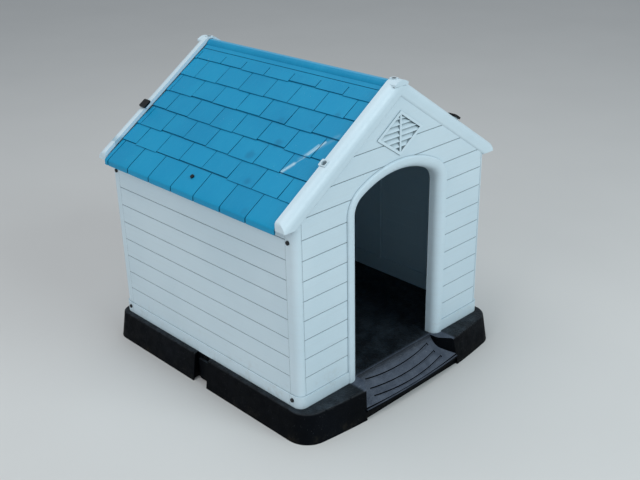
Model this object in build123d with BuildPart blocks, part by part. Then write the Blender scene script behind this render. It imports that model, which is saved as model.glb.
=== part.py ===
from build123d import *
import os
from math import atan, cos, radians, sin

os.makedirs("parts", exist_ok=True)

# ------------------------------------------------------------------ driving dimensions (mm)
wall_width = 600.0          # outside width of the house across the side walls
wall_depth = 635.0          # outside depth from the front wall to the rear wall
base_height = 70.0          # ground to the deck that the walls stand on
front_bow = 64.0            # base beyond the front wall, at the ground
rear_ledge = 26.0           # base beyond the rear wall, at the ground
side_ledge = 25.0           # base beyond the side walls, at the ground
base_draft = 9.0            # degrees that the base tapers in towards its deck
skin = 3.0                  # wall thickness of the mouldings
sheet_thickness = 4.0       # roof sheets, below the tile plane

roof_slope = 0.672          # rise over run of both roof pitches
tile_peak = 706.0           # height at which the two tile planes would meet
rake_peak = 718.0           # height at which the two rake trim tops would meet
rake_reach = 328.0          # half width over the lower ends of the rake trims
eave_reach = 330.0          # half width over the rolled eaves
rake_width = 25.0           # rake trim from the outer wall plane inwards
rake_band = 35.0            # rake trim height, square to the slope
rake_proud = 3.0            # rake trim ahead of the wall plane
rake_round = 19.0           # large round along the outer top edge of the trim

return_depth = 29.0         # front and rear walls wrap this far round the corners
corner_round = 16.0
plinth_height = 28.0
plinth_proud = 3.0
siding_first = 70.6         # first siding line above the foot of the wall
siding_pitch = 44.45
siding_groove = 1.1         # half width of the siding lines
siding_depth = 2.0
frame_line = 284.0          # upright line beside each corner of the end walls

door_half = 131.0           # clear half width of the doorway
door_spring = 387.0         # spring line above the foot of the wall
door_shoulder = 37.0        # small radius at the shoulders of the arch
door_crown = 231.0          # large radius over the top of the arch
bead_width = 27.0           # rolled bead round the doorway
bead_proud = 6.0
jamb_depth = 24.0
step_half = 126.0           # half width of the step at the threshold

vent_width = 142.0
vent_height = 96.0
vent_centre = 531.0         # above the foot of the wall

lock_x = 200.0              # roof locks half-way down each rake
lock_inset = 18.6           # lock centre from the outer wall plane
lock_bore = 12.0
lock_shank = 11.8
screw_shank = 4.4
screw_head = 9.0

# ------------------------------------------------------------------ derived places
slope = atan(roof_slope)
base_length = wall_depth + front_bow + rear_ledge
front_y = -base_length / 2 + front_bow
rear_y = base_length / 2 - rear_ledge
middle_y = (front_y + rear_y) / 2
half_wall = wall_width / 2
foot = base_height
side_top = foot + 426.0
tile_drop = (rake_peak - tile_peak) * cos(slope)
middle_plane = Plane.XZ.offset(-middle_y)
front_plane = Plane.XZ.offset(-front_y)
siding_lines = [foot + siding_first + siding_pitch * row for row in range(11)]
sheet_under = tile_drop + sheet_thickness      # underside of the roof sheets below the rake tops


def slope_height(peak, x):
    """Height of a roof plane with its peak over the ridge, at distance x from the middle."""
    return peak - roof_slope * abs(x)


def along_slope(inset):
    """Plane square to the right-hand slope, u inwards from the front wall and v out of the roof."""
    down = (cos(slope), 0, -sin(slope))
    return Plane(origin=(0, front_y, rake_peak), x_dir=(0, 1, 0), z_dir=down).offset(inset)


def slope_spot(x, y, side=1, lift=0.0):
    """Plane lying on the rake tops at (x, y), its normal square to that slope."""
    normal = (side * sin(slope), 0, cos(slope))
    origin = Vector(side * x, y, slope_height(rake_peak, x)) + Vector(*normal) * lift
    return Plane(origin=origin, x_dir=(cos(slope), 0, -side * sin(slope)), z_dir=normal)


def gable_outline(peak, reach, bottom):
    """House-shaped outline with the roof's pitch."""
    Polygon(
        (-reach, bottom), (reach, bottom), (reach, slope_height(peak, reach)),
        (0, peak), (-reach, slope_height(peak, reach)), align=None,
    )


def finish(part, label, colour):
    part.label = label
    part.color = Color(*colour)
    export_step(part, f"parts/{label}.step")


black = (0.06, 0.07, 0.08)
white = (0.82, 0.87, 0.90)
blue = (0.05, 0.42, 0.62)

# ------------------------------------------------------------------ base, made in two halves
arc_side = base_length / 2 - 28.0      # the front face bows out between these corners
bottom_half = half_wall + side_ledge


def base_outline(inset):
    """Ground outline of the base: bowed front, rounded corners."""
    with BuildLine() as outline:
        ThreePointArc((-bottom_half, -arc_side), (0, -base_length / 2), (bottom_half, -arc_side))
        Polyline(
            (bottom_half, -arc_side), (bottom_half, base_length / 2),
            (-bottom_half, base_length / 2), (-bottom_half, -arc_side),
        )
    make_face(outline.edges())
    fillet(vertices().group_by(Axis.Y)[-1], 38)
    fillet(vertices().filter_by(lambda v: abs(v.Y + arc_side) < 1), 55)
    if inset:
        offset(amount=-inset, kind=Kind.INTERSECTION, mode=Mode.REPLACE)


tread_top = front_y + 5.0
tread_skin = 6.0
tread_lip = front_y - 63.5
tread_low = base_height - 45.0
lip_half = step_half + 34


def tread_curve(drop):
    """Concave line of the step, from the threshold down to its lip, on the YZ plane."""
    Spline(
        (tread_top, base_height - drop), (front_y - 8, base_height - 17 - drop),
        (front_y - 34, base_height - 33 - drop), (tread_lip, tread_low - drop),
    )


def tread_side(grow):
    """Plan of the step's recess: narrow at the doorway, flared towards the front."""
    narrow = step_half + grow
    wide = lip_half + grow
    with BuildLine() as outline:
        Polyline(
            (-wide - 30, tread_lip - 30), (-wide, tread_lip + 4), (-narrow, tread_lip + 46),
            (-narrow, tread_top + grow), (narrow, tread_top + grow), (narrow, tread_lip + 46),
            (wide, tread_lip + 4), (wide + 30, tread_lip - 30), close=True,
        )
    make_face(outline.edges())
    fillet(vertices().filter_by(lambda v: abs(v.Y - tread_lip) < 60 and v.Y > tread_lip), 26)


def recess_solid(drop, grow):
    """Space above the step: the tread line extended forwards, inside the recess plan."""
    with BuildSketch(Plane.YZ) as above:
        with BuildLine() as outline:
            tread_curve(drop)
            Polyline(
                (tread_lip, tread_low - drop), (tread_lip - 40, tread_low - 6 - drop),
                (tread_lip - 40, base_height + 30), (tread_top, base_height + 30),
                (tread_top, base_height - drop),
            )
        make_face()
    extrude(above.sketch, amount=260, both=True)
    with BuildSketch() as plan:
        tread_side(grow)
    extrude(plan.sketch, amount=base_height + 40, mode=Mode.INTERSECT)


with BuildPart() as recess:
    recess_solid(0, 0)

with BuildPart() as recess_grown:
    recess_solid(tread_skin, skin)
    with BuildSketch(Plane.XY.offset(base_height - skin)):
        with Locations((0, tread_top + skin / 2)):
            Rectangle(2 * step_half + 14, skin)
    extrude(amount=skin * 2, mode=Mode.SUBTRACT)

slot_depth = 3.5
slot_width = 5.0
# distance ahead of the front wall, half length and bow of each slot in the step
slot_lines = ((13, 107, 8), (33, 111, 10), (52, 116, 12))

with BuildPart() as tread_slots:
    with BuildSketch(Plane.YZ):
        with BuildLine():
            tread_curve(0)
            Line((tread_lip, tread_low), (tread_lip, tread_low - slot_depth))
            tread_curve(slot_depth)
            Line((tread_top, base_height - slot_depth), (tread_top, base_height))
        make_face()
    extrude(amount=260, both=True)
    with BuildSketch():
        for reach, half, bow in slot_lines:
            crown = front_y - reach
            with BuildLine():
                ThreePointArc((-half, crown + bow), (0, crown), (half, crown + bow))
            trace(line_width=slot_width)
    extrude(amount=base_height, mode=Mode.INTERSECT)

with BuildPart() as base_cavity:
    with BuildSketch():
        base_outline(skin)
    extrude(amount=base_height - skin, taper=base_draft)
    add(recess_grown.part, mode=Mode.SUBTRACT)

notch_half = 24.0                       # notch between the base halves, on each side
notch_back = half_wall + 3.0
key_half = 17.0                         # key in the notch, holding the halves together
post_size = 28.0                        # corner posts that take the lower wall screws
post_face = half_wall - 2 * skin
toe_back = tread_lip + 12.0             # back of the hollow under the step's lip
rib_pitch = 65.0
rib_thickness = 2.5


def base_ribs():
    """Stiffening ribs under the deck, both ways."""
    with GridLocations(rib_pitch, 0, 9, 1):
        Rectangle(rib_thickness, base_length)
    with Locations((0, middle_y)):
        with GridLocations(0, rib_pitch, 1, 10):
            Rectangle(2 * bottom_half, rib_thickness)


with BuildPart() as base_shell:
    with BuildSketch():
        base_outline(0)
    extrude(amount=base_height, taper=base_draft)
    fillet(edges().group_by(Axis.Z)[-1], 6)
    add(recess.part, mode=Mode.SUBTRACT)
    add(base_cavity.part, mode=Mode.SUBTRACT)
    with BuildSketch():
        base_ribs()
    extrude(amount=base_height - 1)
    with BuildSketch():
        for side in (-1, 1):
            with Locations((side * (half_wall - 8), middle_y)):
                Rectangle(22, 2 * notch_half + 12)
    extrude(amount=base_height - 1)
    with BuildSketch():
        with Locations((0, toe_back - 20)):
            Rectangle(2 * lip_half, 40 + 2 * skin)
    extrude(amount=tread_low - 2)
    with BuildSketch():
        base_outline(0)
    extrude(amount=base_height, taper=base_draft, mode=Mode.INTERSECT)
    add(recess.part, mode=Mode.SUBTRACT)
    add(tread_slots.part, mode=Mode.SUBTRACT)
    # hollow under the step's lip
    with BuildSketch():
        with Locations((0, toe_back - 20)):
            Rectangle(2 * lip_half - 2 * skin, 40)
    extrude(amount=tread_low - 5, mode=Mode.SUBTRACT)
    with BuildSketch(Plane.XY.offset(tread_low - 5)):
        base_outline(0)
        with Locations((0, toe_back - 20)):
            Rectangle(2 * lip_half - 2 * skin, 40, mode=Mode.INTERSECT)
    extrude(amount=5)
    with BuildSketch(Plane.XY.offset(-1)):
        for side in (-1, 1):
            with Locations((side * (notch_back + 20), middle_y)):
                Rectangle(40, 2 * notch_half)
            for hand in (-1, 1):
                with Locations((side * (notch_back - 4), middle_y + hand * 10)):
                    Rectangle(8, 4)
                with Locations((side * (notch_back - 6.5), middle_y + hand * 10)):
                    Rectangle(3, 8)
    extrude(amount=base_height + 2, mode=Mode.SUBTRACT)
    with BuildSketch(Plane.XY.offset(base_height - 1)):
        for side in (-1, 1):
            for corner_y, turn in ((front_y, 1), (rear_y, -1)):
                with Locations((side * (post_face - post_size / 2), corner_y + turn * 24)):
                    RectangleRounded(post_size, post_size, 4)
                    RectangleRounded(post_size - 10, post_size - 10, 3, mode=Mode.SUBTRACT)
    extrude(amount=33)
    for side in (-1, 1):
        for corner_y, turn in ((front_y, 1), (rear_y, -1)):
            with BuildSketch(Plane.YZ.offset(side * post_face)):
                with Locations((corner_y + turn * 21, foot + 17)):
                    Circle(screw_shank / 2)
            extrude(amount=-side * 9, mode=Mode.SUBTRACT)

with BuildPart() as base_front:
    add(base_shell.part)
    split(bisect_by=middle_plane, keep=Keep.TOP)
finish(base_front.part, "base_front", black)

with BuildPart() as base_rear:
    add(base_shell.part)
    split(bisect_by=middle_plane, keep=Keep.BOTTOM)
finish(base_rear.part, "base_rear", black)

for side, name in ((-1, "left"), (1, "right")):
    with BuildPart() as base_key:
        with BuildSketch(Plane.XY.offset(4)):
            with Locations((side * (notch_back + 3), middle_y)):
                RectangleRounded(6, 2 * key_half, 1.5)
            for hand in (-1, 1):
                with Locations((side * (notch_back - 3), middle_y + hand * 10)):
                    Rectangle(8, 3.6)
                with Locations((side * (notch_back - 6.5), middle_y + hand * 10)):
                    Rectangle(2.6, 7.6)
        extrude(amount=52)
    finish(base_key.part, f"base_key_{name}", black)

# ------------------------------------------------------------------ end walls
def door_outline(grow, mode=Mode.ADD):
    """Round-shouldered arch over a straight-sided doorway, grown outwards."""
    half = door_half + grow
    shoulder = door_shoulder + grow
    crown = door_crown + grow
    spring = foot + door_spring
    reach = half - shoulder
    rise = ((crown - shoulder) ** 2 - reach ** 2) ** 0.5
    lean = atan(reach / rise)
    turn = ((half - shoulder) + shoulder * sin(lean), spring + shoulder * cos(lean))
    top = spring - rise + crown
    middle_turn = (radians(90) - lean) / 2
    bend = (reach + shoulder * cos(middle_turn), spring + shoulder * sin(middle_turn))
    with BuildLine() as outline:
        Line((-half, foot - 40), (half, foot - 40))
        Line((half, foot - 40), (half, spring))
        ThreePointArc((half, spring), bend, turn)
        ThreePointArc(turn, (0, top), (-turn[0], turn[1]))
        ThreePointArc((-turn[0], turn[1]), (-bend[0], bend[1]), (-half, spring))
        Line((-half, spring), (-half, foot - 40))
    make_face(outline.edges(), mode=mode)


def rake_section(solid):
    """Cross-section of the rake trim: u inwards from the wall plane, v out of the roof."""
    centre = rake_round - rake_proud
    with BuildLine() as outline:
        Line((rake_width, 0), (centre, 0))
        RadiusArc((centre, 0), (-rake_proud, -rake_round), -rake_round)
        Line((-rake_proud, -rake_round), (-rake_proud, -rake_band + 7))
        RadiusArc((-rake_proud, -rake_band + 7), (skin, -rake_band), -7)
        if solid:
            Polyline((skin, -rake_band), (rake_width, -rake_band), (rake_width, 0))
        else:
            Polyline((skin, -rake_band), (1, -rake_band + 7), (1, -rake_round))
            RadiusArc((1, -rake_round), (centre, -skin), rake_round - skin)
            Polyline(
                (centre, -skin), (rake_width - 4, -skin), (rake_width - 4, -tile_drop + 1.5),
                (rake_width, -tile_drop + 1.5), (rake_width, 0),
            )
    make_face(outline.edges())


with BuildPart() as rake_right:
    with BuildSketch(along_slope(-40)):
        rake_section(False)
    extrude(amount=480)
    # ledge that carries the edge of the roof sheet, open under the roof lock
    with BuildSketch(along_slope(30)):
        with Locations((11, -sheet_under - 1.7)):
            Rectangle(18, 3)
    extrude(amount=316)
    with BuildSketch(slope_spot(lock_x, front_y + 16, 1, -sheet_under)):
        Rectangle(34, 20)
    extrude(amount=-6, mode=Mode.SUBTRACT)
    with BuildSketch(Plane.XZ.offset(-front_y + 10)):
        with BuildLine():
            Polyline(
                (0, 800), (rake_reach, 800), (rake_reach, foot + 410), (half_wall - 4, foot + 410),
                (half_wall - 4, 400), (0, 400), close=True,
            )
        make_face()
    extrude(amount=-60, mode=Mode.INTERSECT)

with BuildPart() as rake_stop:
    with BuildSketch(along_slope(300)):
        rake_section(True)
    extrude(amount=140)
    with BuildSketch(Plane.XZ.offset(-front_y + 10)):
        with Locations((rake_reach - 2, foot + 500)):
            Rectangle(4, 180)
    extrude(amount=-60, mode=Mode.INTERSECT)

def wrapped_skin(proud):
    """Plan of an end wall: its face, the rounded corners and the returns along the sides."""
    with Locations((0, front_y - proud + 60)):
        Rectangle(wall_width + 2 * proud, 120)
    fillet(vertices().group_by(Axis.Y)[0], corner_round + proud)
    offset(amount=-skin - proud, mode=Mode.SUBTRACT)
    with Locations((0, front_y - 10 + (return_depth + 10) / 2)):
        Rectangle(wall_width + 20, return_depth + 10, mode=Mode.INTERSECT)


with BuildPart() as end_wall:
    with BuildSketch(Plane.XY.offset(foot)):
        wrapped_skin(0)
    extrude(amount=700)
    with BuildSketch(Plane.XY.offset(foot)):
        wrapped_skin(plinth_proud)
    extrude(amount=plinth_height)
    with BuildSketch(front_plane.offset(20)):
        gable_outline(rake_peak - sheet_under / cos(slope), half_wall + 10, foot)
    extrude(amount=-80, mode=Mode.INTERSECT)
    # siding lines and the upright lines beside the corners
    with BuildSketch(Plane.YZ):
        for height in siding_lines:
            with BuildLine():
                Polyline(
                    (front_y, height - siding_groove), (front_y + siding_depth, height),
                    (front_y, height + siding_groove), close=True,
                )
            make_face()
    extrude(amount=frame_line, both=True, mode=Mode.SUBTRACT)
    with BuildSketch(Plane.XY.offset(foot + plinth_height + 2)):
        for side in (-1, 1):
            with Locations((side * frame_line, front_y)):
                Rectangle(3, 1.2)
    extrude(amount=600, mode=Mode.SUBTRACT)
    add(rake_right.part)
    add(rake_stop.part)
    add(mirror(rake_right.part, about=Plane.YZ))
    add(mirror(rake_stop.part, about=Plane.YZ))
    with BuildSketch(front_plane.offset(rake_proud)):
        with Locations((0, 720)):
            Rectangle(40, 40)
    extrude(amount=-rake_width - rake_proud)
    # rounded peak and shoulders
    with BuildSketch(front_plane.offset(20)):
        gable_outline(rake_peak, rake_reach, foot)
        fillet(vertices().group_by(Axis.Y)[-1], 30)
        fillet(vertices().filter_by(lambda v: abs(v.X) > rake_reach - 1 and v.Y > foot + 100), 8)
    extrude(amount=-80, mode=Mode.INTERSECT)
    # seats for the roof locks, and one at the peak
    for side in (-1, 1):
        seat = slope_spot(lock_x, front_y + lock_inset + 1.4, side)
        with BuildSketch(seat.offset(-skin)):
            RectangleRounded(17, 19, 3)
        extrude(amount=skin + 1.3)
        with BuildSketch(slope_spot(lock_x, front_y + lock_inset, side)):
            Circle(7.8)
        extrude(amount=1.9)
        with BuildSketch(slope_spot(lock_x, front_y + lock_inset, side, 5)):
            Circle(lock_bore / 2)
        extrude(amount=-16, mode=Mode.SUBTRACT)
    with BuildSketch(Plane.XY.offset(foot + 638)):
        with Locations((0, front_y + lock_inset)):
            RectangleRounded(16, 17, 5)
    extrude(amount=4.4)
    for side in (-1, 1):
        for height in (foot + 17, foot + 377):
            with BuildSketch(Plane.YZ.offset(side * (half_wall + 10))):
                with Locations((front_y + 21, height)):
                    Circle(screw_shank / 2)
            extrude(amount=-side * 20, mode=Mode.SUBTRACT)
    with BuildSketch(Plane.XY.offset(690)):
        with Locations((0, front_y + lock_inset)):
            Circle(screw_shank / 2)
    extrude(amount=60, mode=Mode.SUBTRACT)
    with BuildSketch(Plane.XY.offset(foot + 640)):
        with Locations((0, front_y + lock_inset)):
            Circle(screw_head / 2 + 0.5)
    extrude(amount=20, mode=Mode.SUBTRACT)


def vent_outline(width, height, mode=Mode.ADD):
    """Diamond whose sides run with the roof pitch."""
    tips = ((-width / 2, 0), (0, -height / 2), (width / 2, 0), (0, height / 2))
    with Locations((0, foot + vent_centre)):
        Polygon(*tips, align=None, mode=mode)


def beside_opening(edge):
    """True for the edges of the bead's face that run along the doorway."""
    spot = edge @ 0.5
    return abs(spot.X) < door_half + 1 and spot.Z < foot + door_spring + 70


with BuildPart() as door_bead:
    with BuildSketch(front_plane.offset(bead_proud)):
        door_outline(bead_width)
        door_outline(0, Mode.SUBTRACT)
    extrude(amount=-bead_proud - jamb_depth)
    face_edges = edges().group_by(Axis.Y)[0].filter_by(lambda e: (e @ 0.5).Z > foot - 30)
    fillet(face_edges.filter_by(lambda e: not beside_opening(e)), 5)
    face_edges = edges().group_by(Axis.Y)[0].filter_by(lambda e: (e @ 0.5).Z > foot - 30)
    fillet(face_edges.filter_by(beside_opening), 18)
    with BuildSketch(front_plane.offset(-jamb_depth - 1)):
        door_outline(bead_width + 1)
        door_outline(12, Mode.SUBTRACT)
    extrude(amount=jamb_depth + 1 - skin, mode=Mode.SUBTRACT)

with BuildPart() as front_wall:
    add(end_wall.part)
    with BuildSketch(front_plane.offset(10)):
        door_outline(8)
    extrude(amount=-60, mode=Mode.SUBTRACT)
    add(door_bead.part)
    with BuildSketch(front_plane.offset(10)):
        vent_outline(vent_width - 16, vent_height - 11)
    extrude(amount=-60, mode=Mode.SUBTRACT)
    with BuildSketch(Plane.XY):
        Rectangle(1000, 1000)
    extrude(amount=foot, mode=Mode.SUBTRACT)
finish(front_wall.part, "front_wall", white)

with BuildPart() as rear_wall:
    add(mirror(end_wall.part, about=middle_plane))
    with BuildSketch(front_plane):
        vent_outline(vent_width - 16, vent_height - 11)
    extrude(amount=-900, mode=Mode.SUBTRACT)
finish(rear_wall.part, "rear_wall", white)

# ------------------------------------------------------------------ gable vents
slat_pitch = 12.0

with BuildPart() as vent:
    # sloping louvres on one upright bar
    with BuildSketch(Plane.YZ):
        for row in range(-3, 4):
            height = foot + vent_centre + row * slat_pitch
            with BuildLine():
                Polyline(
                    (front_y - 2, height - 5.5), (front_y + 1, height - 5.5),
                    (front_y + 9, height + 5.5), (front_y + 6, height + 5.5), close=True,
                )
            make_face()
    extrude(amount=80, both=True)
    with BuildSketch(front_plane.offset(2)):
        with Locations((0, foot + vent_centre)):
            Rectangle(5, vent_height)
    extrude(amount=-10)
    with BuildSketch(front_plane.offset(10)):
        vent_outline(vent_width - 18, vent_height - 12.5)
    extrude(amount=-30, mode=Mode.INTERSECT)
    # sleeve through the wall, and the raised frame in front of it
    with BuildSketch(front_plane):
        vent_outline(vent_width - 17, vent_height - 12)
        vent_outline(vent_width - 21, vent_height - 14.2, Mode.SUBTRACT)
    extrude(amount=-skin - 4)
    with BuildSketch(front_plane):
        vent_outline(vent_width, vent_height)
        vent_outline(vent_width - 21, vent_height - 14.2, Mode.SUBTRACT)
    extrude(amount=2.5)

with BuildPart() as front_vent:
    add(vent.part)
finish(front_vent.part, "front_vent", white)

with BuildPart() as rear_vent:
    add(mirror(vent.part, about=middle_plane))
finish(rear_vent.part, "rear_vent", white)

# ------------------------------------------------------------------ side walls
side_seam = return_depth + 0.5
tongue_start = 16.5
tongue_end = 45.0

with BuildPart() as right_wall:
    with BuildSketch(Plane.YZ.offset(half_wall - skin)):
        with Locations((middle_y, (foot + side_top) / 2)):
            Rectangle(wall_depth - 2 * side_seam, side_top - foot)
    extrude(amount=skin)
    with BuildSketch(Plane.YZ.offset(half_wall - 1)):
        with Locations((middle_y, foot + plinth_height / 2)):
            Rectangle(wall_depth - 2 * side_seam, plinth_height)
    extrude(amount=1 + plinth_proud)
    chamfer(edges().filter_by(Axis.Y).group_by(Axis.X)[-1].sort_by(Axis.Z)[-1], 1.2)
    # joggled tongues that slip behind the returns of the end walls
    with BuildSketch(Plane.YZ.offset(half_wall - 2 * skin)):
        for corner_y, turn in ((front_y, 1), (rear_y, -1)):
            with Locations((corner_y + turn * (tongue_start + tongue_end) / 2, foot + 205)):
                Rectangle(tongue_end - tongue_start, 410)
    extrude(amount=skin - 0.1)
    with BuildSketch(Plane.YZ.offset(half_wall - 2 * skin)):
        with Locations((middle_y, foot + 205)):
            Rectangle(wall_depth - 2 * side_seam - 2, 410)
        with Locations((middle_y, foot + 205)):
            Rectangle(wall_depth - 2 * tongue_end, 412, mode=Mode.SUBTRACT)
    extrude(amount=skin + 1)
    # inside: skirting rail, upright ribs and a rail under the eave
    with BuildSketch(Plane.YZ.offset(half_wall - skin - 3)):
        with Locations((middle_y, foot + 21)):
            Rectangle(wall_depth - 2 * tongue_end - 4, 42)
        with Locations((middle_y, side_top - 12)):
            Rectangle(wall_depth - 2 * tongue_end - 4, 14)
    extrude(amount=4)
    with BuildSketch(Plane.YZ.offset(half_wall - skin - 6)):
        for shift in (-158, 0, 158):
            with Locations((middle_y + shift, foot + 225)):
                Rectangle(8, 372)
    extrude(amount=7)
    # boss for the eave screw
    with BuildSketch(Plane.XZ.offset(-middle_y + 13)):
        with BuildLine():
            Polyline(
                (half_wall - 2, side_top), (half_wall - 22, side_top),
                (half_wall - 22, side_top - 14), (half_wall - 2, side_top - 34), close=True,
            )
        make_face()
    extrude(amount=-26)
    # siding lines, outside and faintly inside
    with BuildSketch(Plane.XZ.offset(-middle_y)):
        for height in siding_lines[:8]:
            with BuildLine():
                Polyline(
                    (half_wall, height - siding_groove), (half_wall - siding_depth, height),
                    (half_wall, height + siding_groove), close=True,
                )
            make_face()
            with BuildLine():
                Polyline(
                    (half_wall - skin, height - 0.5), (half_wall - skin + 0.4, height),
                    (half_wall - skin, height + 0.5), close=True,
                )
            make_face()
    extrude(amount=wall_depth / 2 - side_seam + 1, both=True, mode=Mode.SUBTRACT)
    for corner_y, turn in ((front_y, 1), (rear_y, -1)):
        with BuildSketch(Plane.YZ.offset(half_wall - 12)):
            for height in (foot + 17, foot + 377):
                with Locations((corner_y + turn * 21, height)):
                    Circle(screw_shank / 2)
        extrude(amount=20, mode=Mode.SUBTRACT)
    with BuildSketch(slope_spot(303, middle_y, 1, 10)):
        Circle(screw_shank / 2)
    extrude(amount=-60, mode=Mode.SUBTRACT)
finish(right_wall.part, "right_wall", white)

with BuildPart() as left_wall:
    add(mirror(right_wall.part, about=Plane.YZ))
finish(left_wall.part, "left_wall", white)

# ------------------------------------------------------------------ roof
row_pitch = 45.0            # tile rows, measured level
first_row = 51.0            # the row along the eave is a little deeper
row_step = 2.4              # each row stands this far above the one below
sheet_start = 11.0          # the ridge cap covers the gap between the sheets
row_edges = [eave_reach - 2 - first_row - row_pitch * row for row in range(6)]


def roof_point(x, lift):
    """Point of the roof profile, lifted square to the tile plane."""
    return (x + lift * sin(slope), slope_height(tile_peak, x) + lift * cos(slope))


with BuildPart() as roof_right:
    with BuildSketch(Plane.XZ.offset(-middle_y)):
        with BuildLine():
            course = [roof_point(sheet_start, -row_step / 2)]
            for edge in reversed(row_edges):
                course.append(roof_point(edge, row_step / 2))
                course.append(roof_point(edge, -row_step / 2))
            Polyline(*course)
            nose = roof_point(314, row_step / 2)
            Line(course[-1], nose)
            tip = (eave_reach, foot + 412)
            Spline(nose, tip, tangents=((cos(slope), -sin(slope)), (0, -1)))
            Polyline(tip, (eave_reach, foot + 402), (eave_reach - 4, foot + 402))
            inner = (eave_reach - 4, foot + 409)
            Line((eave_reach - 4, foot + 402), inner)
            under = roof_point(306, -sheet_thickness)
            Spline(inner, under, tangents=((0, 1), (-cos(slope), sin(slope))))
            Polyline(
                under, roof_point(sheet_start + 2.2, -sheet_thickness),
                roof_point(sheet_start, -row_step / 2),
            )
        make_face()
    extrude(amount=wall_depth / 2 - rake_width - 1, both=True)
    with BuildSketch(Plane.XZ.offset(-middle_y)):
        with BuildLine():
            Polyline(
                roof_point(27, -1), roof_point(290, -1),
                roof_point(290, -sheet_thickness), roof_point(27, -sheet_thickness), close=True,
            )
        make_face()
    extrude(amount=wall_depth / 2 - 7, both=True)
    for spot_y in (front_y + lock_inset, rear_y - lock_inset):
        with BuildSketch(slope_spot(lock_x, spot_y, 1)):
            SlotOverall(13.2, 7.8)
        extrude(amount=-30, mode=Mode.SUBTRACT)
    with BuildSketch(slope_spot(303, middle_y, 1, 10)):
        Circle(screw_shank / 2)
    extrude(amount=-60, mode=Mode.SUBTRACT)
finish(roof_right.part, "roof_right", blue)

with BuildPart() as roof_left:
    add(mirror(roof_right.part, about=Plane.YZ))
finish(roof_left.part, "roof_left", blue)

cap_half = 15.5
cap_top = foot + 637.0
cap_length = wall_depth - 2 * rake_width - 2

with BuildPart() as ridge_cap:
    with BuildSketch(Plane.XZ.offset(-middle_y)):
        with BuildLine():
            edge_low = roof_point(cap_half, 0.6 - row_step / 2)
            lap = roof_point(sheet_start + 0.6, 0.6 - row_step / 2)
            edge = (edge_low[0], edge_low[1] + 1.2)
            ThreePointArc((-edge[0], edge[1]), (0, cap_top), edge)
            Polyline(
                edge, edge_low, lap, (sheet_start - 1, lap[1]), (sheet_start - 1, foot + 622),
                (sheet_start - 3.5, foot + 622), (sheet_start - 3.5, foot + 631),
                (3.5 - sheet_start, foot + 631), (3.5 - sheet_start, foot + 622),
                (1 - sheet_start, foot + 622), (1 - sheet_start, lap[1]), (-lap[0], lap[1]),
                (-edge_low[0], edge_low[1]), (-edge[0], edge[1]),
            )
        make_face()
    extrude(amount=cap_length / 2, both=True)
    # tongues under the peaks of the end walls
    with BuildSketch(Plane.XY.offset(foot + 624)):
        with Locations((0, middle_y)):
            Rectangle(16, wall_depth - 18)
            Rectangle(16, cap_length - 40, mode=Mode.SUBTRACT)
    extrude(amount=4.5)
    with BuildSketch(Plane.XY.offset(foot + 600)):
        for spot_y in (front_y + lock_inset, rear_y - lock_inset):
            with Locations((0, spot_y)):
                Circle(screw_shank / 2)
    extrude(amount=60, mode=Mode.SUBTRACT)
finish(ridge_cap.part, "ridge_cap", blue)


# ------------------------------------------------------------------ fasteners
def screw(plane, length):
    """Domed head on the plane, shank down its negative normal."""
    with BuildSketch(plane) as head:
        Circle(screw_head / 2)
    extrude(head.sketch, amount=2.6)
    with BuildSketch(plane) as shank:
        Circle(screw_shank / 2)
    extrude(shank.sketch, amount=-length)


for side, name in ((-1, "left"), (1, "right")):
    with BuildPart() as wall_screws:
        for corner_y, turn in ((front_y, 1), (rear_y, -1)):
            for height, length, proud in ((17, 15, plinth_proud), (377, 7.9, 0)):
                spot = (side * (half_wall + proud), corner_y + turn * 21, foot + height)
                screw(Plane(origin=spot, x_dir=(0, 1, 0), z_dir=(side, 0, 0)), length + proud)
    finish(wall_screws.part, f"wall_screws_{name}", black)

with BuildPart() as eave_screws:
    for side in (-1, 1):
        screw(slope_spot(303, middle_y, side, 0.9 - tile_drop), 22)
finish(eave_screws.part, "eave_screws", black)

with BuildPart() as peak_screws:
    for spot_y in (front_y + lock_inset, rear_y - lock_inset):
        screw(Plane(origin=(0, spot_y, foot + 640)), 16)
finish(peak_screws.part, "peak_screws", black)

# ------------------------------------------------------------------ quarter-turn roof locks
lock_rise = 2.2
ear_drop = sheet_under + 0.4

for name, side, spot_y in (
    ("front_right", 1, front_y + lock_inset),
    ("rear_left", -1, rear_y - lock_inset),
    ("rear_right", 1, rear_y - lock_inset),
):
    with BuildPart() as roof_lock:
        with BuildSketch(slope_spot(lock_x, spot_y, side, lock_rise)):
            RectangleRounded(22, 23, 3)
        extrude(amount=4.2)
        with BuildSketch(slope_spot(lock_x, spot_y, side, lock_rise)):
            Circle(lock_shank / 2)
        extrude(amount=-lock_rise - skin)
        with BuildSketch(slope_spot(lock_x, spot_y, side, -skin)):
            Circle(3.5)
        extrude(amount=skin - ear_drop)
        with BuildSketch(slope_spot(lock_x, spot_y, side, -ear_drop)):
            SlotOverall(lock_shank, 6.4, rotation=90)
        extrude(amount=-3)
    finish(roof_lock.part, f"roof_lock_{name}", black)
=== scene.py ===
import random
from math import atan, cos, radians, sin

import bmesh
import bpy
from mathutils import Matrix, Vector


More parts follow.
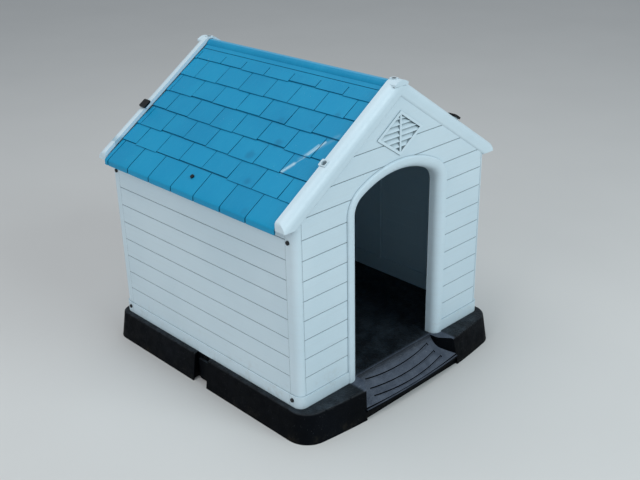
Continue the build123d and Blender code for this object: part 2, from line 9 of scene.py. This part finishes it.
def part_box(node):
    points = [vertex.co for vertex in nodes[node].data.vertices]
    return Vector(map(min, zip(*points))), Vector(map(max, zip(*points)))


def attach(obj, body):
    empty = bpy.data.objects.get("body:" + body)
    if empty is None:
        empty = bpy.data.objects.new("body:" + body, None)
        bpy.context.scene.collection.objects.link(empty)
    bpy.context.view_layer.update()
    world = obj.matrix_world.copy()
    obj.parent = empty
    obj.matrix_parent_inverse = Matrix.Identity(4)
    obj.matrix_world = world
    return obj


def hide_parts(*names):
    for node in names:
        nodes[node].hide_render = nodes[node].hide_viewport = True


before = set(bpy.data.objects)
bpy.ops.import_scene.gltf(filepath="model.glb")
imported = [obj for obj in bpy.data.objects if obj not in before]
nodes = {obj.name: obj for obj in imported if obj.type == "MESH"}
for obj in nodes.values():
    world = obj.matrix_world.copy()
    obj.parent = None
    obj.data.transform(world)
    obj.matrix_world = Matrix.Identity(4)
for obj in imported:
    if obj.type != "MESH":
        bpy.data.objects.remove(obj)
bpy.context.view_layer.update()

# ---------------------------------------------------------------- places, in metres, from the frame
wall_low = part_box("right_wall")[0]
sheet_low, sheet_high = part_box("roof_right")
front_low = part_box("front_wall")[0]
rear_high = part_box("rear_wall")[1]

bead_proud = 0.006
rake_proud = 0.003
foot = wall_low.z                      # deck of the base, where the walls stand
front_y = front_low.y + bead_proud     # outer plane of the front wall, behind its door bead
rear_y = rear_high.y - rake_proud      # outer plane of the rear wall, inside its rake trims
wall_x = 0.300                         # outer plane of the side walls
half_skin = 0.002
inner_x = wall_x - half_skin           # inside the thickness of the side walls
inner_y = rear_y - half_skin           # inside the thickness of the rear wall
rise_over_run = 0.672                  # pitch of the roof
slope = atan(rise_over_run)
tile_peak = 0.706                      # height at which the two tile planes would meet
eave_x = sheet_high.x                  # outermost line of the rolled eave
eave_low = sheet_low.z                 # lower edge of the rolled eave
rake_width = 0.026
sheet_front = front_y + rake_width     # visible ends of the roof sheets, inside the rake trims
sheet_rear = rear_y - rake_width

random.seed(41)


# ---------------------------------------------------------------- material nodes
class Shader:
    """One material with a Principled shader, and short ways to add and join its nodes."""

    def __init__(self, name):
        self.material = bpy.data.materials.new(name)
        self.material.use_nodes = True
        self.tree = self.material.node_tree
        self.surface = self.tree.nodes["Principled BSDF"]
        coordinates = self.tree.nodes.new("ShaderNodeTexCoord")
        self.place = coordinates.outputs["Object"]

    def join(self, source, target):
        if hasattr(source, "is_output"):
            self.tree.links.new(source, target)
        else:
            target.default_value = source

    def math(self, operation, a, b=0.0):
        node = self.tree.nodes.new("ShaderNodeMath")
        node.operation = operation
        self.join(a, node.inputs[0])
        self.join(b, node.inputs[1])
        return node.outputs[0]

    def times(self, first, *others):
        """Product of two or more values."""
        product = first
        for other in others:
            product = self.math("MULTIPLY", product, other)
        return product

    def noise(self, scale, detail, roughness=0.55, place=None):
        node = self.tree.nodes.new("ShaderNodeTexNoise")
        self.join(place or self.place, node.inputs["Vector"])
        node.inputs["Scale"].default_value = scale
        node.inputs["Detail"].default_value = detail
        node.inputs["Roughness"].default_value = roughness
        return node.outputs["Fac"]

    def cells(self, scale, feature="F1"):
        """Distance from the nearest of many scattered points."""
        node = self.tree.nodes.new("ShaderNodeTexVoronoi")
        node.feature = feature
        self.join(self.place, node.inputs["Vector"])
        node.inputs["Scale"].default_value = scale
        return node.outputs["Distance"]

    def stretch(self, scale, turn=(0, 0, 0)):
        """Object coordinates stretched, for grain that runs one way."""
        node = self.tree.nodes.new("ShaderNodeMapping")
        self.join(self.place, node.inputs["Vector"])
        node.inputs["Rotation"].default_value = turn
        node.inputs["Scale"].default_value = scale
        return node.outputs[0]

    def ramp(self, value, low, high, start=0.0, end=1.0):
        """Value mapped smoothly from low..high to start..end and clamped."""
        node = self.tree.nodes.new("ShaderNodeMapRange")
        node.interpolation_type = "SMOOTHSTEP"
        self.join(value, node.inputs["Value"])
        for name, number in (("From Min", low), ("From Max", high), ("To Min", start), ("To Max", end)):
            node.inputs[name].default_value = number
        return node.outputs[0]

    def mix(self, amount, a, b):
        """Colour that goes from a to b as the amount goes from 0 to 1."""
        node = self.tree.nodes.new("ShaderNodeMix")
        node.data_type = "RGBA"
        self.join(amount, node.inputs[0])
        self.join(a, node.inputs[6])
        self.join(b, node.inputs[7])
        return node.outputs[2]

    def axes(self):
        node = self.tree.nodes.new("ShaderNodeSeparateXYZ")
        self.join(self.place, node.inputs[0])
        return node.outputs

    def facing(self):
        """The surface's own direction as x, y and z."""
        geometry = self.tree.nodes.new("ShaderNodeNewGeometry")
        node = self.tree.nodes.new("ShaderNodeSeparateXYZ")
        self.join(geometry.outputs["True Normal"], node.inputs[0])
        return node.outputs

    def painted_indoor_shade(self):
        """Painted shade inside the house: above 0 on the inner faces of the side and rear walls, 0
        outside.
        """
        soft = 0.0002
        behind_jamb = front_y + 0.030
        attic = foot + 0.45
        shade_strength = 0.8
        place = self.axes()
        beside = self.ramp(self.math("ABSOLUTE", place[0]), inner_x - soft, inner_x + soft, 1.0, 0.0)
        behind = self.ramp(place[1], behind_jamb, behind_jamb + 0.004)
        before = self.ramp(place[1], inner_y - soft, inner_y + soft, 1.0, 0.0)
        below = self.ramp(place[2], attic, attic + 0.01, 1.0, 0.0)
        return self.times(beside, behind, before, below, shade_strength)

    def attribute(self, name):
        node = self.tree.nodes.new("ShaderNodeAttribute")
        node.attribute_name = name
        return node.outputs["Fac"]

    def near_line(self, start, end):
        """Distance from the straight stroke between two points."""
        run = end - start
        away = self.vector("SUBTRACT", self.place, start)
        along = self.math("DIVIDE", self.vector("DOT_PRODUCT", away, run), run.length_squared)
        clamped = self.math("MINIMUM", self.math("MAXIMUM", along, 0.0), 1.0)
        foot_point = self.tree.nodes.new("ShaderNodeVectorMath")
        foot_point.operation = "SCALE"
        foot_point.inputs[0].default_value = run
        self.join(clamped, foot_point.inputs["Scale"])
        return self.vector("LENGTH", self.vector("SUBTRACT", away, foot_point.outputs[0]))

    def vector(self, operation, a, b=None):
        node = self.tree.nodes.new("ShaderNodeVectorMath")
        node.operation = operation
        self.join(a, node.inputs[0])
        if b is not None:
            self.join(b, node.inputs[1])
        return node.outputs["Value" if operation in ("DOT_PRODUCT", "LENGTH") else "Vector"]

    def relief(self, height, depth, below=None, strength=1.0):
        """Bump of a given depth in metres, over the bump below it."""
        node = self.tree.nodes.new("ShaderNodeBump")
        node.inputs["Strength"].default_value = strength
        node.inputs["Distance"].default_value = depth
        self.join(height, node.inputs["Height"])
        if below is not None:
            self.join(below, node.inputs["Normal"])
        return node.outputs[0]

    def finish(self, colour, roughness, normal, specular=0.5):
        self.join(colour, self.surface.inputs["Base Color"])
        self.join(roughness, self.surface.inputs["Roughness"])
        self.join(normal, self.surface.inputs["Normal"])
        self.join(specular, self.surface.inputs["Specular IOR Level"])
        return self.material


def wall_plastic(name, tone, warm, corner_shade_strength):
    """Off-white moulded plastic: fine orange-peel grain, faint mottling and dirt low down, with painted
    shade in the seams, the inner corners and on the inner faces.

    Two tones mottle the surface, and the last argument says how much painted shade darkens its inner
    corners.
    """
    streak_grey = (0.50, 0.55, 0.56, 1)
    mud_brown = (0.36, 0.34, 0.29, 1)
    speck_grey = (0.30, 0.30, 0.28, 1)
    corner_shade_grey = (0.26, 0.34, 0.37, 1)
    groove_shade_grey = (0.100, 0.140, 0.155, 1)
    # colour of the painted shade on the inner faces of the walls
    indoor_shade_blue = (0.30, 0.46, 0.55, 1)
    splash_reach = 0.09
    shader = Shader(name)
    place = shader.axes()
    mottled = shader.ramp(shader.noise(3.1, 4), 0.3, 0.7)
    clean = shader.mix(mottled, tone, warm)
    grain_streak = shader.noise(1.0, 5, 0.6, shader.stretch((9, 9, 210)))
    streaked = shader.mix(shader.ramp(grain_streak, 0.45, 0.75, 0.0, 0.10), clean, streak_grey)
    splash_height = shader.ramp(place[2], foot, foot + splash_reach, 1.0, 0.0)
    splash = shader.times(splash_height, shader.ramp(shader.noise(38, 6, 0.7), 0.52, 0.74), 0.30)
    dusty = shader.mix(splash, streaked, mud_brown)
    speck = shader.ramp(shader.cells(95), 0.045, 0.075, 1.0, 0.0)
    rare = shader.ramp(shader.noise(17, 2), 0.60, 0.66)
    spotted = shader.mix(shader.times(speck, rare, 0.5), dusty, speck_grey)
    # painted shade: inner corners darkened up to 20 mm in
    shaded = shader.mix(shader.times(crevice(shader, 0.020), corner_shade_strength), spotted, corner_shade_grey)
    # painted shade: grooves and seams darkened
    groove_shaded = shader.mix(shader.times(crevice(shader, 0.0035), 0.68), shaded, groove_shade_grey)
    # painted shade: the inner faces of the walls darkened, where the roof and walls keep out the light
    colour = shader.mix(shader.painted_indoor_shade(), groove_shaded, indoor_shade_blue)
    roughness = shader.ramp(shader.noise(46, 4), 0.3, 0.7, 0.36, 0.47)
    soft = shader.relief(shader.noise(24, 3), 0.0006, strength=0.30)
    grain = shader.relief(shader.noise(950, 2, 0.5), 0.00022, soft, 0.55)
    return shader.finish(colour, roughness, grain, 0.45)


def on_slope(x, y):
    """Point of the tile plane above x and y."""
    return Vector((x, y, tile_peak - rise_over_run * abs(x)))


def crevice(shader, reach):
    """1 in grooves and inner corners, 0 on open faces: the mask for painted shade."""
    node = shader.tree.nodes.new("ShaderNodeAmbientOcclusion")
    node.samples = 8
    node.only_local = False
    node.inputs["Distance"].default_value = reach
    return shader.ramp(node.outputs["AO"], 0.42, 0.80, 1.0, 0.0)


def roof_plastic(name, marked):
    """Blue moulded plastic: a slightly different blue on each tile, smudges, specks, pale scratches and
    painted shade in the tile joints.

    The marks are given as x and y on the slope; they also give the strength of a painted highlight that
    makes the flat top of the ridge paler.
    """
    deep_blue = (0.0020, 0.238, 0.448, 1)
    light_blue = (0.0028, 0.268, 0.492, 1)
    cloud_blue = (0.006, 0.300, 0.520, 1)
    grain_blue = (0.045, 0.370, 0.580, 1)
    smudge_blue = (0.003, 0.150, 0.300, 1)
    joint_shade_blue = (0.002, 0.070, 0.135, 1)
    highlight_blue = (0.110, 0.400, 0.600, 1)
    scratch_white = (0.55, 0.74, 0.82, 1)
    dot_grey = (0.30, 0.52, 0.62, 1)
    smudge_fade = 0.016
    shader = Shader(name)
    shade = shader.mix(shader.attribute("tile_shade"), deep_blue, light_blue)
    cloud = shader.ramp(shader.noise(7.5, 5, 0.6), 0.35, 0.72)
    clouded = shader.mix(shader.times(cloud, 0.45), shade, cloud_blue)
    fine = shader.noise(1.0, 5, 0.62, shader.stretch((55, 420, 55)))
    colour = shader.mix(shader.ramp(fine, 0.48, 0.78, 0.0, 0.22), clouded, grain_blue)
    smudge_edge = shader.times(shader.noise(60, 4, 0.6), 0.022)
    for spot, size in marked["smudges"]:
        away = shader.vector("LENGTH", shader.vector("SUBTRACT", shader.place, on_slope(*spot)))
        mask = shader.ramp(shader.math("ADD", away, smudge_edge), size, size + smudge_fade, 0.50, 0.0)
        colour = shader.mix(mask, colour, smudge_blue)
    streaks = shader.noise(1.0, 6, 0.75, shader.stretch((520, 110, 260), (0, 0, radians(-28))))
    for start, end, width, strength in marked["scratches"]:
        away = shader.near_line(on_slope(*start), on_slope(*end))
        rough_away = shader.math("ADD", away, shader.times(streaks, width * 1.5))
        mask = shader.ramp(rough_away, width * 0.72, width * 1.5, strength, 0.0)
        feathered = shader.times(mask, shader.ramp(streaks, 0.36, 0.60, 0.35, 1.0))
        colour = shader.mix(feathered, colour, scratch_white)
    dot = shader.ramp(shader.cells(120), 0.05, 0.09, 1.0, 0.0)
    rare = shader.ramp(shader.noise(14, 2), 0.58, 0.66)
    dotted = shader.mix(shader.times(dot, rare, 0.7), colour, dot_grey)
    # painted shade: the joints and gaps between tiles darkened
    joint_shaded = shader.mix(shader.times(crevice(shader, 0.006), 0.72), dotted, joint_shade_blue)
    # painted highlight: faces that point straight up made paler, strongest on the ridge's top
    level = shader.ramp(shader.facing()[2], 0.90, 0.995, 0.0, marked["highlight_strength"])
    highlighted = shader.mix(level, joint_shaded, highlight_blue)
    roughness = shader.ramp(shader.noise(30, 4), 0.3, 0.7, 0.34, 0.48)
    wave = shader.relief(shader.noise(20, 3), 0.0009, strength=0.35)
    wood = shader.relief(fine, 0.0003, wave, 0.45)
    grain = shader.relief(shader.noise(900, 2), 0.0002, wood, 0.5)
    return shader.finish(highlighted, roughness, grain, 0.27)


def base_plastic(name):
    """Black plastic, pebbled on its upper faces, with pale specks; the worn step is greyer and scuffed."""
    deep_black = (0.0008, 0.0014, 0.0024, 1)
    cloud_black = (0.0030, 0.0045, 0.0070, 1)
    upward_grey = (0.040, 0.056, 0.072, 1)
    step_grey = (0.054, 0.068, 0.094, 1)
    worn_grey = (0.096, 0.116, 0.152, 1)
    scuff_grey = (0.26, 0.28, 0.30, 1)
    speck_grey = (0.16, 0.17, 0.17, 1)
    mud_brown = (0.050, 0.044, 0.032, 1)
    shader = Shader(name)
    place = shader.axes()
    facing = shader.facing()
    cloud = shader.ramp(shader.noise(5.0, 5, 0.6), 0.3, 0.75)
    black = shader.mix(cloud, deep_black, cloud_black)
    # upward faces made lighter and bluer in noisy patches
    upward = shader.ramp(facing[2], 0.35, 0.8)
    upward_patch = shader.times(upward, shader.ramp(shader.noise(26, 6, 0.7), 0.38, 0.75, 0.10, 0.60))
    patched = shader.mix(upward_patch, black, upward_grey)
    # the step: in front of the threshold and inside its cheeks
    across = shader.ramp(shader.math("ABSOLUTE", place[0]), 0.150, 0.160, 1.0, 0.0)
    ahead = shader.ramp(place[1], front_y + 0.004, front_y + 0.014, 1.0, 0.0)
    above = shader.ramp(place[2], foot - 0.052, foot - 0.044, 0.0, 1.0)
    step = shader.times(across, ahead, above, upward)
    wear = shader.ramp(shader.noise(34, 6, 0.7), 0.3, 0.75)
    stepped = shader.mix(step, patched, shader.mix(wear, step_grey, worn_grey))
    scuff_noise = shader.noise(1.0, 5, 0.7, shader.stretch((60, 320, 320)))
    scuff = shader.times(step, shader.ramp(scuff_noise, 0.62, 0.74, 0.0, 0.6))
    scuffed = shader.mix(scuff, stepped, scuff_grey)
    speck = shader.ramp(shader.cells(210), 0.07, 0.13, 1.0, 0.0)
    often = shader.ramp(shader.noise(40, 3), 0.46, 0.62)
    speck_share = shader.ramp(facing[2], -0.2, 0.6, 0.25, 0.8)
    speckled = shader.mix(shader.times(speck, often, speck_share), scuffed, speck_grey)
    mud_height = shader.ramp(place[2], 0.002, 0.030, 1.0, 0.0)
    mud = shader.times(mud_height, shader.ramp(shader.noise(45, 6, 0.75), 0.48, 0.75, 0.0, 0.4))
    colour = shader.mix(mud, speckled, mud_brown)
    roughness = shader.ramp(shader.noise(55, 4), 0.3, 0.7, 0.46, 0.66)
    pebble = shader.ramp(shader.cells(290, "SMOOTH_F1"), 0.0, 0.7, 1.0, 0.0)
    pebble_share = shader.ramp(facing[2], 0.2, 0.8, 0.25, 1.0)
    pebbled = shader.relief(shader.times(pebble, pebble_share), 0.0009, strength=0.8)
    grain = shader.relief(shader.noise(800, 2), 0.0002, pebbled, 0.5)
    specular = shader.ramp(facing[2], 0.1, 0.7, 0.045, 0.20)
    return shader.finish(colour, roughness, grain, specular)


def fastener_plastic(name):
    """Black nylon, a little lighter on its raised edges."""
    shader = Shader(name)
    cloud = shader.ramp(shader.noise(160, 4), 0.35, 0.7)
    black = shader.mix(cloud, (0.0015, 0.002, 0.0025, 1), (0.005, 0.0055, 0.006, 1))
    edge = shader.tree.nodes.new("ShaderNodeNewGeometry").outputs["Pointiness"]
    # raised edges made lighter
    edge_lighter = shader.mix(shader.ramp(edge, 0.54, 0.62, 0.0, 0.35), black, (0.035, 0.037, 0.040, 1))
    roughness = shader.ramp(shader.noise(220, 3), 0.3, 0.7, 0.32, 0.50)
    grain = shader.relief(shader.noise(1500, 2), 0.0001, strength=0.6)
    return shader.finish(edge_lighter, roughness, grain, 0.18)


def floor_paint(name):
    """Plain pale floor."""
    shader = Shader(name)
    colour = shader.mix(shader.noise(2.0, 2), (0.62, 0.62, 0.61, 1), (0.66, 0.66, 0.65, 1))
    return shader.finish(colour, 0.85, shader.relief(shader.noise(300, 2), 0.0002, strength=0.2), 0.2)


# ---------------------------------------------------------------- mesh helpers
def place_piece(name, mesh, material, body, replaced):
    """Object with smooth faces and sharp edges, riding on a body instead of the replaced CAD nodes."""
    mesh.update()
    for polygon in mesh.polygons:
        polygon.use_smooth = True
    mesh.set_sharp_from_angle(angle=radians(35))
    piece = bpy.data.objects.new(name, mesh)
    bpy.context.scene.collection.objects.link(piece)
    piece.data.materials.append(material)
    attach(piece, body)
    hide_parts(*replaced)
    return piece


def bevel(piece, width):
    modifier = piece.modifiers.new("soft edges", "BEVEL")
    modifier.width = width
    modifier.segments = 2
    modifier.limit_method = "ANGLE"
    modifier.angle_limit = radians(40)


# ---------------------------------------------------------------- roof profile and tiles
roll_start = 0.312                      # where the slope starts to roll over into the eave
roll_end = foot + 0.412                 # height where the roll turns straight down
roll_points = 10
sheet_top = 0.011                       # half width left for the ridge cap


def roof_profile():
    """Top line of a roof sheet from the ridge down over the rolled eave, as (x, z) points."""
    line = [Vector((x, tile_peak - rise_over_run * x)) for x in (sheet_top, roll_start)]
    start = line[-1]
    end = Vector((eave_x, roll_end))
    corner = Vector((eave_x, start.y - rise_over_run * (eave_x - start.x)))
    for step in range(1, roll_points + 1):
        t = step / roll_points
        line.append((1 - t) ** 2 * start + 2 * t * (1 - t) * corner + t * t * end)
    line.append(Vector((eave_x, eave_low)))
    return line


profile = roof_profile()
profile_run = [0.0]
for before, after in zip(profile, profile[1:]):
    profile_run.append(profile_run[-1] + (after - before).length)
roof_run = profile_run[-1]


def run_at(x):
    """Distance down the profile from its start to the point at x on the straight slope."""
    return (x - profile[0].x) / cos(slope)


def on_roof(side, run, y, lift):
    """Point at a distance down the profile, lifted square to it."""
    index = max(i for i in range(len(profile) - 1) if profile_run[i] <= run + 1e-9)
    before, after = profile[index], profile[index + 1]
    share = (run - profile_run[index]) / (after - before).length
    spot = before.lerp(after, share)
    heading = (after - before).normalized()
    if 0 < index < len(profile) - 2:
        previous = (before - profile[index - 1]).normalized()
        following = (profile[index + 2] - after).normalized()
        heading = (previous + heading).lerp(heading + following, share).normalized()
    normal = Vector((-heading.y, heading.x))
    return Vector((side * (spot.x + normal.x * lift), y, spot.y + normal.y * lift))


def slab(sheet, side, stations, near, far, lift_top, lift_low, shade=0.5, across=4):
    """Closed slab on the roof.

    The stations are distances down the roof. With the share of the way down them, near and far give the
    slab's limits in y, and lift_top gives its upper face from the share down and the share across.
    """
    top, low = [], []
    first, last = stations[0], stations[-1]
    for run in stations:
        share = (run - first) / (last - first)
        y_from, y_to = near(share), far(share)
        row_top, row_low = [], []
        for step in range(across + 1):
            y = y_from + (y_to - y_from) * step / across
            row_top.append(sheet.verts.new(on_roof(side, run, y, lift_top(share, step / across))))
            row_low.append(sheet.verts.new(on_roof(side, run, y, lift_low)))
        top.append(row_top)
        low.append(row_low)
    layer = sheet.faces.layers.float["tile_shade"]
    faces = []
    for i in range(len(stations) - 1):
        for j in range(across):
            faces.append((top[i][j], top[i][j + 1], top[i + 1][j + 1], top[i + 1][j]))
            faces.append((low[i][j], low[i + 1][j], low[i + 1][j + 1], low[i][j + 1]))
        faces.append((top[i][0], top[i + 1][0], low[i + 1][0], low[i][0]))
        faces.append((top[i + 1][across], top[i][across], low[i][across], low[i + 1][across]))
    for j in range(across):
        faces.append((top[0][j + 1], top[0][j], low[0][j], low[0][j + 1]))
        faces.append((top[-1][j], top[-1][j + 1], low[-1][j + 1], low[-1][j]))
    for corners in faces:
        if side > 0:
            corners = corners[::-1]
        sheet.faces.new(corners)[layer] = shade


tile_edges = (0.277, 0.232, 0.187, 0.142, 0.097, 0.052)     # lower edges of the rows, from the middle
tile_pitch = 0.081
first_joint = 0.030                    # first joint of the eave row, behind the front wall plane
joint_gap = 0.0019
joint_stagger = 0.47                   # share of a tile by which every second row is shifted
tile_top = 0.0012                      # tiles rise this far above the tile plane at their lower edge
tile_under = -0.0030                   # underside of the tiles
row_gap = 0.0009                       # gap below the row above
eave_flat = 0.02                       # upper part of the eave row that is one flat step


def joints_of(row):
    """Joints along one row of tiles, slightly uneven and staggered from row to row."""
    shift = first_joint if row % 2 == 0 else first_joint + tile_pitch * joint_stagger
    found = []
    y = front_y + shift
    while y < sheet_rear - 0.012:
        found.append(y + random.uniform(-0.004, 0.004))
        y += tile_pitch
    return [y for y in found if y > sheet_front + 0.010]


def tile_row(sheet, side, row, upper, lower):
    """One row of tiles between two distances down the roof."""
    joints = joints_of(row)
    limits = [sheet_front] + joints + [sheet_rear]
    for index, (start, end) in enumerate(zip(limits, limits[1:])):
        jag = random.choice((-0.0020, -0.0008, 0.0009, 0.0021)) if row else 0.0
        skew_a, skew_b = random.uniform(-0.0012, 0.0012), random.uniform(-0.0012, 0.0012)
        tilt = random.uniform(-0.00025, 0.00025)
        near_gap = joint_gap / 2 if index else 0.0
        far_gap = joint_gap / 2 if index < len(limits) - 2 else 0.0
        bottom = lower + jag
        if row == 0:
            flat_end = upper + eave_flat
            stations = [upper, flat_end] + [s for s in profile_run if s > flat_end + 0.01]
            widen = 0.0011
        else:
            stations = [upper, (upper + bottom) / 2, bottom - 0.001, bottom]
            widen = 0.0

        def near(share, start=start, gap=near_gap, skew=skew_a, widen=widen):
            notch = widen * max(0.0, share - 0.8) * 5
            return start + gap + (skew * (share - 0.5) + notch if gap else 0.0)

        def far(share, end=end, gap=far_gap, skew=skew_b, widen=widen):
            notch = widen * max(0.0, share - 0.8) * 5
            return end - gap + (skew * (share - 0.5) - notch if gap else 0.0)

        def top_lift(share, across, tilt=tilt):
            rise = tile_top * (2 * share - 1) if row else tile_top * min(1.0, 1.6 * share - 0.6)
            crown = 0.00022 * (1 - (2 * across - 1) ** 2)
            return rise + crown + tilt * (2 * across - 1)

        slab(sheet, side, stations, near, far, top_lift, tile_under, random.random())


def top_row(sheet, side, upper, lower):
    """The row below the ridge is one plate with a fine line along it, and its joints are short slots."""
    slot_height = 0.019
    line_width = 0.0014
    slot_run = lower - slot_height / cos(slope)
    joints = joints_of(len(tile_edges))
    cursor = sheet_front
    line_run = run_at(0.0245)
    for start, end in ((upper, line_run), (line_run + line_width, slot_run)):
        slab(
            sheet, side, [start, end], lambda share: sheet_front, lambda share: sheet_rear,
            lambda share, across: -0.0006 + 0.0003 * share, tile_under, 0.55, 12,
        )
    for index, joint in enumerate(joints + [sheet_rear]):
        last = index == len(joints)
        gap_near = joint_gap / 2 if index else 0.0
        gap_far = 0.0 if last else joint_gap / 2
        jag = random.choice((-0.002, 0.0, 0.002))
        slab(
            sheet, side, [slot_run, (slot_run + lower) / 2, lower + jag],
            lambda share, a=cursor + gap_near: a, lambda share, b=joint - gap_far: b,
            lambda share, across: -0.0003 + 0.0013 * share, tile_under, random.random(),
        )
        cursor = joint


def roof_sheet(side, name, material, node):
    """One roof pitch: an under-sheet with seven rows of tiles on it."""
    sheet = bmesh.new()
    sheet.faces.layers.float.new("tile_shade")
    under_stations = [profile_run[0], profile_run[1] * 0.5] + profile_run[1:]
    slab(
        sheet, side, under_stations, lambda share: sheet_front, lambda share: sheet_rear,
        lambda share, across: -0.0019, -0.0040, 0.0, 16,
    )
    edges = [run_at(x) for x in tile_edges]
    tile_row(sheet, side, 0, edges[0] + row_gap, roof_run)
    for row, (lower, upper) in enumerate(zip(edges, edges[1:]), start=1):
        tile_row(sheet, side, row, upper + row_gap, lower)
    top_row(sheet, side, run_at(0.0125), edges[-1])
    mesh = bpy.data.meshes.new(name)
    sheet.to_mesh(mesh)
    sheet.free()
    piece = place_piece(name, mesh, material, "house", (node,))
    bevel(piece, 0.0006)


# ---------------------------------------------------------------- materials and where they go
left_marks = {
    "highlight_strength": 0.0,
    "smudges": [
        ((-0.137, -0.088), 0.010), ((-0.180, -0.127), 0.012), ((-0.220, -0.080), 0.013),
        ((-0.131, -0.175), 0.007), ((-0.094, -0.213), 0.009), ((-0.270, -0.127), 0.010),
        ((-0.321, -0.179), 0.009),
    ],
    "scratches": [
        ((-0.229, -0.190), (-0.209, -0.202), 0.0095, 1.0),
        ((-0.184, -0.219), (-0.152, -0.234), 0.0072, 1.0),
        ((-0.190, -0.212), (-0.160, -0.224), 0.0045, 0.70),
        ((-0.209, -0.202), (-0.184, -0.219), 0.0036, 0.45),
        ((-0.196, -0.206), (-0.134, -0.254), 0.0120, 0.16),
        ((-0.060, 0.255), (-0.048, 0.262), 0.0022, 0.55),
    ],
}
# the ridge's flat top gets a painted highlight
ridge_marks = {"highlight_strength": 0.7, "smudges": [], "scratches": []}
right_marks = {
    "highlight_strength": 0.0,
    "smudges": [
        ((0.165, 0.060), 0.010), ((0.240, -0.060), 0.012), ((0.110, 0.180), 0.008),
    ],
    "scratches": [((0.205, 0.120), (0.232, 0.105), 0.0030, 0.40)],
}
white = wall_plastic("wall plastic", (0.615, 0.745, 0.815, 1), (0.560, 0.695, 0.770, 1), 0.16)
# the vent gets strong painted shade in the corners of its slats and frame
vent_white = wall_plastic("vent plastic", (0.640, 0.770, 0.840, 1), (0.590, 0.725, 0.800, 1), 0.72)
blue_left = roof_plastic("roof plastic left", left_marks)
blue_right = roof_plastic("roof plastic right", right_marks)
blue_ridge = roof_plastic("ridge plastic", ridge_marks)
black = base_plastic("base plastic")
nylon = fastener_plastic("fastener plastic")

finishes = {
    "screw": nylon, "lock": nylon, "wall": white, "vent": vent_white, "base": black,
    "ridge": blue_ridge, "roof": blue_left,
}
for node_name, node_object in nodes.items():
    chosen = next(material for word, material in finishes.items() if word in node_name)
    node_object.data.materials.clear()
    node_object.data.materials.append(chosen)

roof_sheet(-1, "roof_tiles_left", blue_left, "roof_left")
roof_sheet(1, "roof_tiles_right", blue_right, "roof_right")


# ---------------------------------------------------------------- floor, light and camera
def add_floor():
    half = 60.0
    mesh = bpy.data.meshes.new("floor")
    grid = bmesh.new()
    corners = [grid.verts.new((x * half, y * half, 0)) for x, y in ((-1, -1), (1, -1), (1, 1), (-1, 1))]
    grid.faces.new(corners)
    grid.to_mesh(mesh)
    grid.free()
    floor = bpy.data.objects.new("floor", mesh)
    bpy.context.scene.collection.objects.link(floor)
    mesh.materials.append(floor_paint("floor paint"))


def add_light(name, place, target, size, power, tint=(1, 1, 1)):
    data = bpy.data.lights.new(name, "AREA")
    data.size = size
    data.energy = power
    data.color = tint
    light = bpy.data.objects.new(name, data)
    light.location = place
    light.rotation_euler = (Vector(target) - Vector(place)).to_track_quat("-Z", "Y").to_euler()
    bpy.context.scene.collection.objects.link(light)


def add_camera():
    """Camera ahead of the house's left side, looking down at it, slightly rolled."""
    place = Vector((-1.378, -1.487, 1.194))
    forward = Vector((0.6305, 0.6549, -0.4166)).normalized()
    right = forward.cross(Vector((0, 0, 1))).normalized()
    up = right.cross(forward)
    roll = radians(-1.2)
    right, up = right * cos(roll) + up * sin(roll), up * cos(roll) - right * sin(roll)
    data = bpy.data.cameras.new("camera")
    data.lens = 52.06
    data.sensor_width = 36.0
    camera = bpy.data.objects.new("camera", data)
    turn = Matrix((right, up, -forward)).transposed().to_4x4()
    camera.matrix_world = Matrix.Translation(place) @ turn
    bpy.context.scene.collection.objects.link(camera)
    bpy.context.scene.camera = camera


def set_look():
    """Plain display of the colours, with no film curve."""
    bpy.context.scene.view_settings.view_transform = "Standard"


def add_world():
    world = bpy.data.worlds.new("studio")
    bpy.context.scene.world = world
    world.use_nodes = True
    background = world.node_tree.nodes["Background"]
    background.inputs["Color"].default_value = (0.86, 0.93, 1.0, 1)
    background.inputs["Strength"].default_value = 0.42


add_floor()
add_light("key", (0.5, -3.4, 2.6), (0, 0, 0.35), 2.2, 71, (0.85, 0.97, 1.0))
add_light("side", (-3.4, -0.4, 2.2), (0, 0, 0.35), 2.2, 34)
add_light("top", (-0.5, 0.4, 3.6), (0, 0, 0.35), 2.6, 34)
add_camera()
add_world()
set_look()
